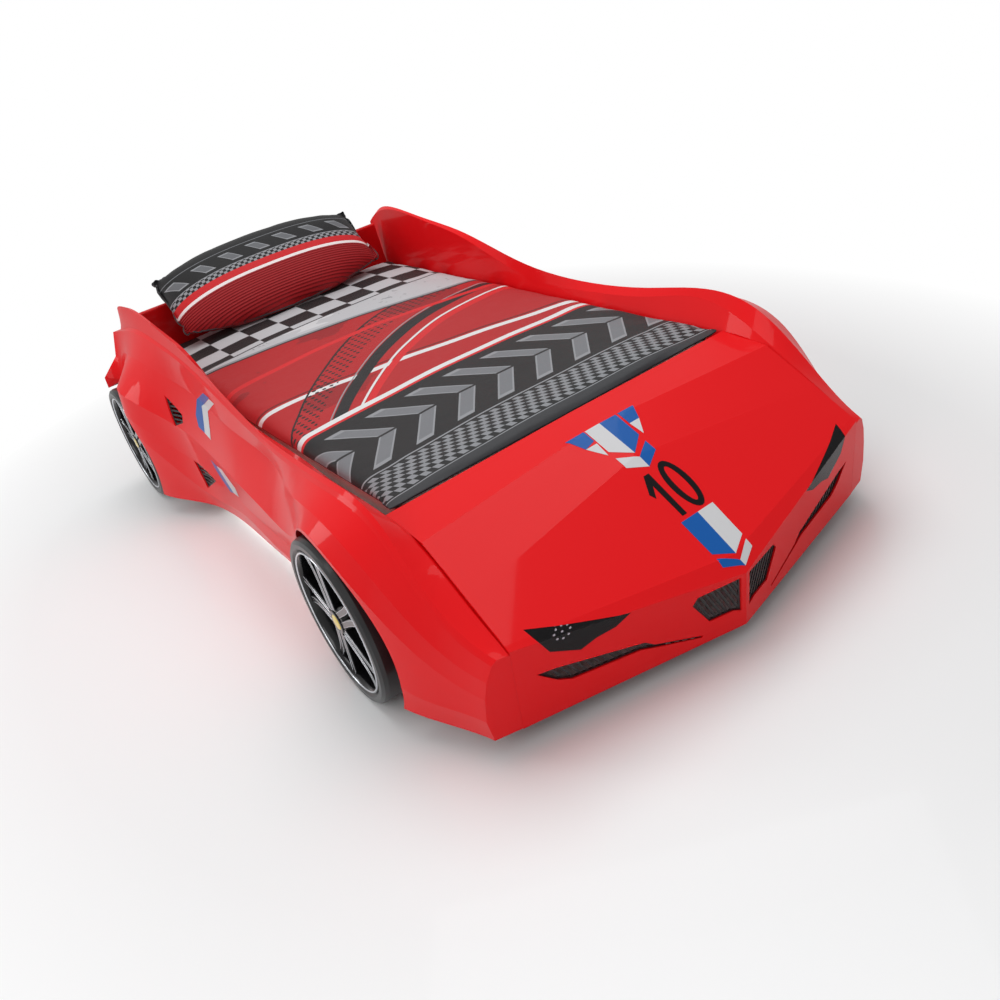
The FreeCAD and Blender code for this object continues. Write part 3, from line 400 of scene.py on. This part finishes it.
def quilt_print():
    """Printed cotton: from the foot a dark hem, small chequers, black with silver bars, red with stripes,
    pale ground with dots, then large chequers."""
    shader = Shader("quilt_print", srgb(172, 10, 18), 0.5, Sheen_Weight=0.06, Specular_IOR_Level=0.25)
    x, y, _ = shader.place()
    along = y + x * x * 0.10 - float(QUILT_FOOT)
    sweep = along + x * 0.26

    def chequer(size, a=None, b=None):
        tile = ((a or x) / size).floor() + ((b or along) / size).floor()
        return (tile / 2).fract().above(0.25)

    black, silver, white = srgb(14, 14, 16), srgb(138, 140, 144), srgb(216, 216, 216)
    pale, dark_grey, deep, bright = srgb(182, 183, 186), srgb(50, 51, 54), srgb(100, 4, 10), srgb(205, 16, 24)
    blot = shader.noise(3.2, 4).above(0.56)
    speck = shader.noise(42, 3).above(0.66)
    bar = ((x + (along - 0.34).size() * 0.62) / 0.115).fract()
    dots_x, dots_y = (x / 0.022).fract() - 0.5, (along / 0.022).fract() - 0.5
    dot = (dots_x * dots_x + dots_y * dots_y).below(0.07)
    arc = (x - 0.12) * (x - 0.12) * 0.9 + (along - 0.62) - (x * 0.55)
    head = sweep.above(1.33)
    squares = chequer(0.105)
    layers = [
        (blot, srgb(146, 8, 16)),
        ((sweep - 0.70).between(0, 0.028), white), ((sweep - 0.74).between(0, 0.010), deep),
        (arc.between(0.17, 0.205), bright), (arc.between(0.21, 0.222), white),
        (arc.between(0.27, 0.33), black), (arc.between(0.335, 0.342), silver),
        (arc.between(0.40, 0.52) * dot, black), (arc.between(0.52, 0.532), black),
        ((sweep + arc * 0.2).between(1.19, 1.225), bright),
        (sweep.above(1.27), black), (sweep.above(1.282), silver), (sweep.above(1.30), pale),
        (head * speck, silver), (head * blot, srgb(200, 201, 203)),
        (along.above(1.43) * squares, black), (along.above(1.43) * squares.inverse(), pale),
        (along.above(1.42) * along.below(1.43), dark_grey),
        (along.below(0.56), white), (along.below(0.535), bright), (along.below(0.522), black),
        (along.between(0.20, 0.48) * bar.between(0.18, 0.60), silver),
        (along.between(0.215, 0.465) * bar.between(0.225, 0.555), srgb(112, 114, 118)),
        (along.between(0.335, 0.345) * bar.between(0.18, 0.60), black),
        (along.below(0.178), silver), (along.below(0.172), black),
        (along.between(0.05, 0.165) * chequer(0.0165, x + along * 0.5), srgb(132, 134, 138)),
        (along.below(0.045), silver), (along.below(0.042), dark_grey),
    ]
    shader.paint(layers)
    threads = (x * THREADS).sine() * (y * THREADS).sine()
    shader.bump(threads * THREAD_RISE + shader.noise(16, 4) * 0.0022, 1.0)
    return shader.material


def add_quilt():
    piece, _ = closed_pad("quilt_cover", 56, 116, quilt_place)
    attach(piece, "quilt")
    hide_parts("quilt")
    fill_out(piece, pressure=1.2, frames=14, cap=0.006, shrink=-0.012)
    points = points_of(piece)
    x, y, z = points.T
    upper = np.clip((z - QUILT_LOW.z - 0.006) / 0.006, 0, 1)
    near_side = np.clip((np.abs(x) - 0.26) / 0.18, 0, 1)
    soft = ripple(points * (1.0, 0.5, 0), 5.5, 3.1) * 0.0044
    folds = ripple(points * (2.0, 1.0, 0) + (y * 0.8)[:, None] * (1, 0, 0), 9.0, 8.7) * 0.0034 * near_side
    low = QUILT_LOW.z + QUILT_UNDER
    points[:, 2] = np.clip(z + upper * (soft + folds), low, QUILT_HIGH.z - 0.0008)
    points[:, 0] = np.clip(x, -QUILT_HALF, QUILT_HALF)
    points[:, 1] = np.clip(y, QUILT_LOW.y, QUILT_HIGH.y)
    set_points(piece, points)
    divide(piece)
    piece.data.materials.append(quilt_print())


PILLOW_LOW, PILLOW_HIGH = (Vector(v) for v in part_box("pillow"))
PILLOW_LEAN = math.radians(50)  # from upright, backwards
PILLOW_SIZE = (0.73, 0.35, 0.17)  # width, height along its lean, thickness
PILLOW_SINK = 0.006  # how far its lower edge is pressed in where it stands
PILLOW_SHIFT = 0.022  # towards the headboard
PILLOW_UP = Vector((0, math.sin(PILLOW_LEAN), math.cos(PILLOW_LEAN)))
PILLOW_BACK = Vector((0, math.cos(PILLOW_LEAN), -math.sin(PILLOW_LEAN)))
PILLOW_MIDDLE = (PILLOW_LOW + PILLOW_HIGH) / 2


def pillow_place(u, v, face):
    """Full rounded panels, fullest in the middle, with bowed long edges and drawn out corners."""
    across, tall = ease(u), ease(v)
    bow = 0.74 + 0.26 * math.cos(across * math.pi / 2)
    lens = ((1 - abs(across) ** 3.2) * (1 - abs(tall) ** 2.3)) ** 0.55
    pull = 1 - 0.03 * (1 - tall * tall) * abs(across) ** 6 - 0.05 * (across * tall) ** 8
    tuck = 1 - 0.06 * (across * tall) ** 8
    return across * 0.385 * pull, tall * 0.190 * bow * tuck, -face * 0.080 * lens


def pillow_print():
    """Printed cotton with its bands across: pleated dark red with a darker line along each pleat as painted shade,
    white stripe, red, fine chequers, black top.
    """
    shader = Shader("pillow_print", srgb(150, 6, 16), 0.55, Sheen_Weight=0.06, Specular_IOR_Level=0.25)
    x, y, z = shader.place()
    high = (y - PILLOW_MIDDLE.y) * PILLOW_UP.y + (z - PILLOW_MIDDLE.z) * PILLOW_UP.z
    high = high + x * x * 0.16
    black, silver = srgb(16, 16, 18), srgb(138, 140, 144)
    check = (((x / 0.011).floor() + (high / 0.011).floor()) / 2).fract().above(0.25)
    bar = ((x + high * 0.8) / 0.10).fract()
    pleat_shade = (high / 0.0085).fract()
    shader.paint([
        # a darker line along each pleat: painted shade in the folds of the ribs
        (pleat_shade.below(0.16), srgb(96, 4, 12)),
        (high.above(-0.036), srgb(196, 20, 28)), (high.between(-0.036, -0.025), srgb(232, 226, 226)),
        (high.between(0.002, 0.026), black), (high.between(0.002, 0.026) * check, silver),
        (high.above(0.026), silver), (high.above(0.029), black),
        (high.between(0.042, 0.088) * bar.between(0.2, 0.58), silver),
        (high.between(0.047, 0.083) * bar.between(0.235, 0.545), srgb(96, 98, 102)),
        (high.between(0.104, 0.107), srgb(110, 112, 116)), (high.above(0.168), srgb(150, 12, 20)),
    ])
    ribs = (high * 739).sine() * high.below(-0.038)
    threads = (x * THREADS).sine() * (z * THREADS).sine()
    shader.bump(threads * THREAD_RISE + ribs * 0.0008 + shader.noise(20, 4) * 0.0016, 1.0)
    return shader.material


def add_pillow():
    piece, rim = closed_pad("pillow_cover", 66, 36, pillow_place)
    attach(piece, "pillow")
    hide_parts("pillow")
    fill_out(piece, pressure=3.0, frames=20, cap=0.020, shrink=-0.05)
    points = points_of(piece)
    for axis, size in enumerate(PILLOW_SIZE):
        span = points[:, axis].max() - points[:, axis].min()
        points[:, axis] = (points[:, axis] - (points[:, axis].max() + points[:, axis].min()) / 2) * size / span
    across, tall, thick = points.T
    points = across[:, None] * np.array((1, 0, 0)) + tall[:, None] * np.array(PILLOW_UP)
    points = points + thick[:, None] * np.array(PILLOW_BACK) + np.array(PILLOW_MIDDLE)
    points[:, 2] += PILLOW_LOW.z - points[:, 2].min() - PILLOW_SINK
    points[:, 1] += PILLOW_SHIFT
    points[:, 2] = np.maximum(points[:, 2], PILLOW_LOW.z + 0.0004)
    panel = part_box("headboard")
    limit = panel[0][1] - 0.0008 + np.maximum(0, points[:, 2] - panel[1][2] - 0.004) * 2.5
    points[:, 1] = np.minimum(points[:, 1], limit)
    set_points(piece, points)
    divide(piece)
    piece.data.materials.append(pillow_print())
    edge = tubes("pillow_edging", [(points[rim], 0.0028, True)], piping_dark, "pillow")


MATTRESS_LOW, MATTRESS_HIGH = (Vector(v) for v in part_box("mattress"))


def mattress_place(u, v, face):
    """Flat faces with shallow tufts, round edges and straight sides; the rim runs half way up the sides."""
    half = (MATTRESS_HIGH - MATTRESS_LOW) / 2
    middle = (MATTRESS_HIGH + MATTRESS_LOW) / 2
    round_off, flat, turn, tuft_rise = 0.028, 0.84, 0.92, 0.0018
    reach = max(abs(u), abs(v), 1e-6)
    if reach <= flat:
        inner, out, drop = 1.0, 0.0, 0.0
        share_u, share_v = u / flat, v / flat
    else:
        share_u, share_v = u / reach, v / reach
        bend = min((reach - flat) / (turn - flat), 1) * math.pi / 2
        out = round_off * math.sin(bend)
        drop = round_off * (1 - math.cos(bend)) + max(0, reach - turn) / (1 - turn) * (half.z - round_off)
    corner = 1 - 0.012 * (abs(share_u * share_v) ** 12)
    x = share_u * (half.x - round_off) * corner + out * share_u / max(abs(share_u), abs(share_v), 1e-6)
    y = share_v * (half.y - round_off) * corner + out * share_v / max(abs(share_u), abs(share_v), 1e-6)
    tuft = tuft_rise * abs(math.sin(x * 26) * math.sin(y * 26)) if reach < flat else tuft_rise
    z = (half.z - drop - (tuft_rise - tuft if reach <= flat else 0)) * face
    return middle.x + x, middle.y + y, middle.z + z


def add_mattress():
    piece, _ = closed_pad("mattress_cover", 64, 124, mattress_place)
    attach(piece, "mattress")
    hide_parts("mattress")
    divide(piece)
    piece.data.materials.append(ticking)
    inset, corner = 0.009, 0.020
    for label, high in (("low", MATTRESS_LOW.z + inset), ("high", MATTRESS_HIGH.z - inset)):
        half_x, half_y = MATTRESS_HIGH.x - inset, (MATTRESS_HIGH.y - MATTRESS_LOW.y) / 2 - inset
        middle_y = (MATTRESS_HIGH.y + MATTRESS_LOW.y) / 2
        corners = []
        for k, (sx, sy) in enumerate(((1, 1), (-1, 1), (-1, -1), (1, -1))):
            for step in range(7):
                turn = math.radians(90 * k + 15 * step)
                corners.append((sx * (half_x - corner) + corner * math.cos(turn),
                                middle_y + sy * (half_y - corner) + corner * math.sin(turn), high))
        edge = tubes(f"mattress_edging_{label}", [(corners, 0.0035, True)], piping_grey, "mattress")


piping_dark = Shader("piping_dark", srgb(46, 46, 50), 0.7, Sheen_Weight=0.2).material
piping_grey = Shader("piping_grey", srgb(150, 152, 156), 0.7, Sheen_Weight=0.2).material
add_mattress()
add_quilt()
add_pillow()

# ------------------------------------------------------------------------------------------- printed films

film_blue = gloss("film_blue", srgb(8, 84, 160), 0.35, 0.15, 0.15)
film_white = gloss("film_white", srgb(200, 200, 202), 0.35, 0.15, 0.15)
film_black = gloss("film_black", srgb(16, 12, 14), 0.35, 0.1, 0.1)


FILM_CELL = 0.009  # longest edge of a film's mesh, so that it follows the surface
FILM_RISE, FILM_THICK = 0.0007, 0.0005


def surface_of(node):
    mesh = NODES[node].data
    return BVHTree.FromPolygons([v.co for v in mesh.vertices], [p.vertices[:] for p in mesh.polygons])


def add_film(name, node, loops, ahead, material):
    """A thin printed film in straight-sided shapes, laid along a direction on the surface of a node."""
    ahead = Vector(ahead)
    surface = surface_of(node)
    film = bmesh.new()
    for loop in loops:
        film.faces.new([film.verts.new(corner) for corner in loop])
    for _ in range(6):
        bmesh.ops.triangulate(film, faces=film.faces[:])
        wide = [edge for edge in film.edges if edge.calc_length() > FILM_CELL]
        if not wide:
            break
        bmesh.ops.subdivide_edges(film, edges=wide, cuts=1)
    bmesh.ops.triangulate(film, faces=film.faces[:])
    for vert in film.verts:
        spot, normal, _, _ = surface.ray_cast(vert.co, ahead)
        if spot is None:
            raise RuntimeError(f"{name} misses {node} at {tuple(vert.co)}")
        vert.co = spot + (normal if normal.dot(ahead) < 0 else -normal) * FILM_RISE
    bmesh.ops.recalc_face_normals(film, faces=film.faces[:])
    if sum(face.normal.dot(ahead) for face in film.faces) > 0:
        bmesh.ops.reverse_faces(film, faces=film.faces[:])
    mesh = bpy.data.meshes.new(name)
    film.to_mesh(mesh)
    film.free()
    mesh.materials.append(material)
    piece = bpy.data.objects.new(name, mesh)
    bpy.context.scene.collection.objects.link(piece)
    thick = piece.modifiers.new("thick", "SOLIDIFY")
    thick.thickness, thick.offset = FILM_THICK, -1
    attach(piece, "bed")


REAR_AXLE_Y = (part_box("tyre_rear_right")[0][1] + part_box("tyre_rear_right")[1][1]) / 2
NOSE_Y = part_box("hood")[0][1]


def leaning_ring(x, back, wide, tall, line, steps=28):
    """Quads of an upright oval ring: the figure nought."""
    quads = []
    for k in range(steps):
        turns = (math.tau * k / steps, math.tau * (k + 1) / steps)
        quads.append([(x + (wide - rim * line) * math.cos(t), back + (tall - rim * line) * math.sin(t))
                      for t, rim in ((turns[0], 0), (turns[1], 0), (turns[1], 1), (turns[0], 1))])
    return quads


# Hood graphic, as (distance from the centre line, distance behind the nose tip) in millimetres.
HOOD_BLUE = (((-90, 403), (-40, 403), (-40, 368), (-70, 359)), ((4, 402), (49, 402), (48, 326), (4, 291)),
             ((55, 402), (100, 402), (82, 362), (55, 362)), ((5, 278), (46, 305), (46, 274), (5, 251)),
             ((-36, 127), (10, 127), (5, 26), (-36, 48)), ((-36, 37), (5, 17), (8, 8), (-36, 23)))
HOOD_WHITE = (((-70, 359), (-40, 359), (-44, 319)), ((-37, 402), (4, 402), (4, 291), (-37, 326)),
              ((55, 362), (82, 362), (59, 323)), ((-38, 304), (5, 278), (5, 251), (-38, 272)),
              ((10, 127), (52, 127), (48, 48), (5, 26)), ((5, 17), (46, 37), (48, 25), (8, 8)))
FIGURE_ONE = (((-23, 240), (-9, 240), (-10, 136), (-22, 136)), ((-23, 240), (-23, 214), (-38, 190), (-44, 203)))


def add_hood_films():
    nought = leaning_ring(31, 191, 26, 58, 13.5)
    for label, shapes, material in (("blue", HOOD_BLUE, film_blue), ("white", HOOD_WHITE, film_white),
                                    ("number", (*FIGURE_ONE, *nought), film_black)):
        loops = [[(x / 1000, NOSE_Y + back / 1000, 1.0) for x, back in shape] for shape in shapes]
        add_film(f"hood_film_{label}", "hood", loops, (0, 0, -1), material)


# Flank stripes, as (distance ahead of the rear axle, height) in millimetres.
FLANK_BLUE = (((654, 448), (760, 488), (816, 484), (695, 435)),
              ((654, 448), (695, 435), (692, 409), (716, 364), (658, 369), (637, 400)),
              ((729, 287), (795, 286), (851, 260), (867, 218), (817, 205), (764, 232), (732, 260)))
FLANK_PALE = (((811, 480), (855, 475), (752, 432), (695, 435)),
              ((695, 435), (752, 432), (750, 393), (780, 359), (716, 364), (692, 409)),
              ((795, 286), (868, 296), (953, 264), (932, 227), (867, 218), (851, 260)))


def add_flank_films():
    for side, sign in SIDES:
        node = f"side_skin_{side}"
        for label, shapes, material in (("blue", FLANK_BLUE, film_blue), ("pale", FLANK_PALE, film_white)):
            loops = [[(sign * 1.0, REAR_AXLE_Y - ahead / 1000, high / 1000) for ahead, high in shape]
                     for shape in shapes]
            add_film(f"flank_film_{label}_{side}", node, loops, (-sign, 0, 0), material)


add_hood_films()
add_flank_films()

# -------------------------------------------------------------------------------------------------- wheels

# Silver metal lines along the spoke edges and the lip of the black rims are painted highlights, standing in for the
# glints on the glossy black.
bright = Shader("bright_edge", srgb(206, 209, 214), 0.16, Metallic=1.0).material

# Rim profile from the lip inwards, as (radius, depth behind the tyre's face) in millimetres.
RIM_PROFILE = ((171.5, 100), (171.5, 5), (170, 2.6), (165, 2.6), (163, 5), (161, 13), (158.5, 42), (156, 72),
               (146, 90), (70, 93), (50, 78), (42, 50), (39, 18), (36, 10), (32, 8.2), (0, 8.2))
SPOKE_STEPS = 12
SPOKE_PAIRS, SPOKE_TURN = 5, 0.14
SPOKE_THICK, SPOKE_CHAMFER = 11, 2
GLINT_IN = 1.6  # of each silver line, a painted highlight, from the side of its spoke


def turn_outward(piece):
    """Consistent outward normals, and edges that stay sharp beyond 38 degrees."""
    shape = bmesh.new()
    shape.from_mesh(piece.data)
    bmesh.ops.recalc_face_normals(shape, faces=shape.faces[:])
    shape.to_mesh(piece.data)
    shape.free()
    piece.data.set_sharp_from_angle(angle=math.radians(38))


def spoke_run(share):
    """Middle line of one bar of a double spoke: sideways distance, radius and depth in millimetres."""
    side = 11.5 + 3 * share + 17 * share ** 4
    return side, 30 + 132 * share, 7 + 6 * share - 4 * share ** 6


def add_rim(tag, sign):
    """Black dished rim with five double spokes that sweep out to its lip, and silver lines along the spoke edges and
    round the lip as painted highlights.
    """
    low, high = (Vector(v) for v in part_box(f"tyre_{tag}"))
    face = high.x if sign > 0 else low.x
    hub_y, hub_z = (low.y + high.y) / 2, (low.z + high.z) / 2

    def spot(depth, across, reach, turn):
        y = reach * math.cos(turn) - across * math.sin(turn)
        z = reach * math.sin(turn) + across * math.cos(turn)
        return face - sign * depth / 1000, hub_y + y / 1000, hub_z + z / 1000

    steps = 88
    verts, faces = [], []
    for radius, depth in RIM_PROFILE[:-1]:
        verts += [spot(depth, 0, radius, math.tau * k / steps) for k in range(steps)]
    rings = len(RIM_PROFILE) - 1
    for ring in range(rings - 1):
        for k in range(steps):
            here, after = ring * steps + k, ring * steps + (k + 1) % steps
            faces.append((here, after, after + steps, here + steps))
    faces += [tuple(range((rings - 1) * steps, rings * steps)), tuple(reversed(range(steps)))]
    edges = []
    for number in range(SPOKE_PAIRS):
        turn = math.tau * number / SPOKE_PAIRS + SPOKE_TURN
        for way in (-1, 1):
            start = len(verts)
            sides = ([], [])
            for k in range(SPOKE_STEPS + 1):
                share = k / SPOKE_STEPS
                side, reach, depth = spoke_run(share)
                half = 7.4 + 1.6 * share
                section = ((-half, SPOKE_THICK), (-half, SPOKE_CHAMFER), (-half + 2.2, 0),
                           (half - 2.2, 0), (half, SPOKE_CHAMFER), (half, SPOKE_THICK))
                verts += [spot(depth + down, (side + off) * way, reach, turn) for off, down in section]
                for line, off in zip(sides, (GLINT_IN - half, half - GLINT_IN)):
                    line.append(spot(depth + 0.2, (side + off) * way, reach, turn))
            for k in range(SPOKE_STEPS):
                for j in range(6):
                    a, b = start + 6 * k + j, start + 6 * k + (j + 1) % 6
                    faces.append((a, b, b + 6, a + 6))
            faces += [tuple(range(start, start + 6)), tuple(range(len(verts) - 1, len(verts) - 7, -1))]
            edges += sides
    piece = add_mesh(f"rim_dressed_{tag}", verts, faces, [rim_dark])
    turn_outward(piece)
    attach(piece, "bed")
    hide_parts(f"rim_{tag}")
    # The ring round the lip and the lines along each spoke's edges are painted highlights.
    lip = [spot(3.2, 0, 166.5, math.tau * k / 96) for k in range(96)]
    glint_lines = tubes(f"rim_edges_{tag}", [(lip, 0.0027, True)] + [(line, 0.0009, False) for line in edges], bright, "bed")


# Cap in the middle of a wheel, as (radius, depth behind the tyre's face, 1 where the yellow starts).
CAP_PROFILE = ((28, 12, 0), (28, 5.5, 0), (26, 4.2, 0), (21, 4.2, 0), (19.5, 5.2, 0), (18.5, 5.2, 1), (17, 3.6, 1),
               (0, 2.6, 1))


def add_caps(side, sign):
    """Two domed yellow caps with a dark collar."""
    verts, faces, shades, steps = [], [], [], 40
    for end in ("front", "rear"):
        low, high = (Vector(v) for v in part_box(f"tyre_{end}_{side}"))
        face, middle = (high.x if sign > 0 else low.x), (low + high) / 2
        first = len(verts)
        for radius, depth, _ in CAP_PROFILE[:-1]:
            verts += [(face - sign * depth / 1000, middle.y + radius / 1000 * math.cos(math.tau * k / steps),
                       middle.z + radius / 1000 * math.sin(math.tau * k / steps)) for k in range(steps)]
        verts.append((face - sign * CAP_PROFILE[-1][1] / 1000, middle.y, middle.z))
        tip = len(verts) - 1
        for ring in range(len(CAP_PROFILE) - 1):
            here = first + ring * steps
            for k in range(steps):
                after = (k + 1) % steps
                last = ring == len(CAP_PROFILE) - 2
                faces.append((here + k, here + after, tip) if last else
                             (here + k, here + after, here + steps + after, here + steps + k))
                shades.append(CAP_PROFILE[ring][2])
        faces.append(tuple(first + k for k in reversed(range(steps))))
        shades.append(0)
    piece = add_mesh(f"cap_dressed_{side}", verts, faces, [rim_dark, cap_yellow])
    piece.data.polygons.foreach_set("material_index", shades)
    turn_outward(piece)
    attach(piece, "bed")
    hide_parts(f"hub_caps_{side}")


for side, sign in SIDES:
    for end in ("front", "rear"):
        add_rim(f"{end}_{side}", sign)
    add_caps(side, sign)

# ------------------------------------------------------------------------------------------- camera, light

CAMERA_PLACE = Vector((-1.071, -2.719, 1.377))
CAMERA_YAW, CAMERA_PITCH, CAMERA_ROLL = (math.radians(v) for v in (33.12, 21.21, -14.71))
CAMERA_SENSOR = 36
CAMERA_REACH = 1.063  # focal length as a share of the sensor's width


def add_camera():
    ahead = Vector((math.sin(CAMERA_YAW) * math.cos(CAMERA_PITCH), math.cos(CAMERA_YAW) * math.cos(CAMERA_PITCH),
                    -math.sin(CAMERA_PITCH)))
    level = Vector((math.cos(CAMERA_YAW), -math.sin(CAMERA_YAW), 0))
    upright = level.cross(ahead)
    turn = Matrix.Rotation(-CAMERA_ROLL, 3, ahead)
    right, up = turn @ level, turn @ upright
    camera = bpy.data.objects.new("camera", bpy.data.cameras.new("camera"))
    camera.matrix_world = Matrix((right, up, -ahead)).transposed().to_4x4()
    camera.location = CAMERA_PLACE
    camera.data.sensor_width = CAMERA_SENSOR
    camera.data.lens = CAMERA_SENSOR * CAMERA_REACH
    camera.data.shift_x = -0.130
    camera.data.shift_y = -0.143
    bpy.context.scene.collection.objects.link(camera)
    bpy.context.scene.camera = camera


def add_floor():
    """Pale floor; what the camera sees of it further out goes over into the white of the background."""
    half = 12
    corners = [(-half, -half, 0), (half, -half, 0), (half, half, 0), (-half, half, 0)]
    shader = Shader("floor_white", (0.83, 0.835, 0.84, 1), 0.4, Coat_Weight=0.15)
    x, y, z = shader.place()
    across, along = (x / 1.25), (y / 1.95)
    far = (((across * across + along * along) - 0.9) / 1.1).math("ADD", 0.0, clamp=True)
    tree = shader.tree
    seen = Signal(tree, tree.nodes.new("ShaderNodeLightPath").outputs["Is Camera Ray"])
    white = tree.nodes.new("ShaderNodeEmission")
    mix = tree.nodes.new("ShaderNodeMixShader")
    tree.links.new((far * seen).socket, mix.inputs[0])
    tree.links.new(shader.surface.outputs[0], mix.inputs[1])
    tree.links.new(white.outputs[0], mix.inputs[2])
    tree.links.new(mix.outputs[0], tree.nodes["Material Output"].inputs[0])
    add_mesh("floor", corners, [(0, 1, 2, 3)], [shader.material], False)


def add_lamp(name, place, aim, width, height, power):
    light = bpy.data.lights.new(name, "AREA")
    light.shape = "RECTANGLE"
    light.size, light.size_y, light.energy = width, height, power
    lamp = bpy.data.objects.new(name, light)
    lamp.location = place
    lamp.rotation_euler = (Vector(aim) - Vector(place)).to_track_quat("-Z", "Y").to_euler()
    bpy.context.scene.collection.objects.link(lamp)


def add_studio():
    world = bpy.data.worlds.new("studio")
    bpy.context.scene.world = world
    world.use_nodes = True
    tree = world.node_tree
    tree.nodes["Background"].inputs[0].default_value = (1, 1, 1, 1)
    seen = tree.nodes.new("ShaderNodeLightPath")
    direct = Signal(tree, seen.outputs["Is Camera Ray"]).either(Signal(tree, seen.outputs["Is Transmission Ray"]))
    strength = direct * 0.44 + 0.56
    tree.links.new(strength.socket, tree.nodes["Background"].inputs[1])
    middle = (0, -0.1, 0.3)
    add_lamp("overhead", (0.2, 0.2, 4.2), middle, 3.2, 4.2, 96)
    add_lamp("front_right", (-3.4, -2.6, 2.4), middle, 1.6, 2.2, 30)
    add_lamp("rear_right", (-3.0, 2.4, 2.0), middle, 1.2, 1.8, 26)
    scene = bpy.context.scene
    scene.view_settings.view_transform = "Standard"


add_camera()
add_floor()
add_studio()
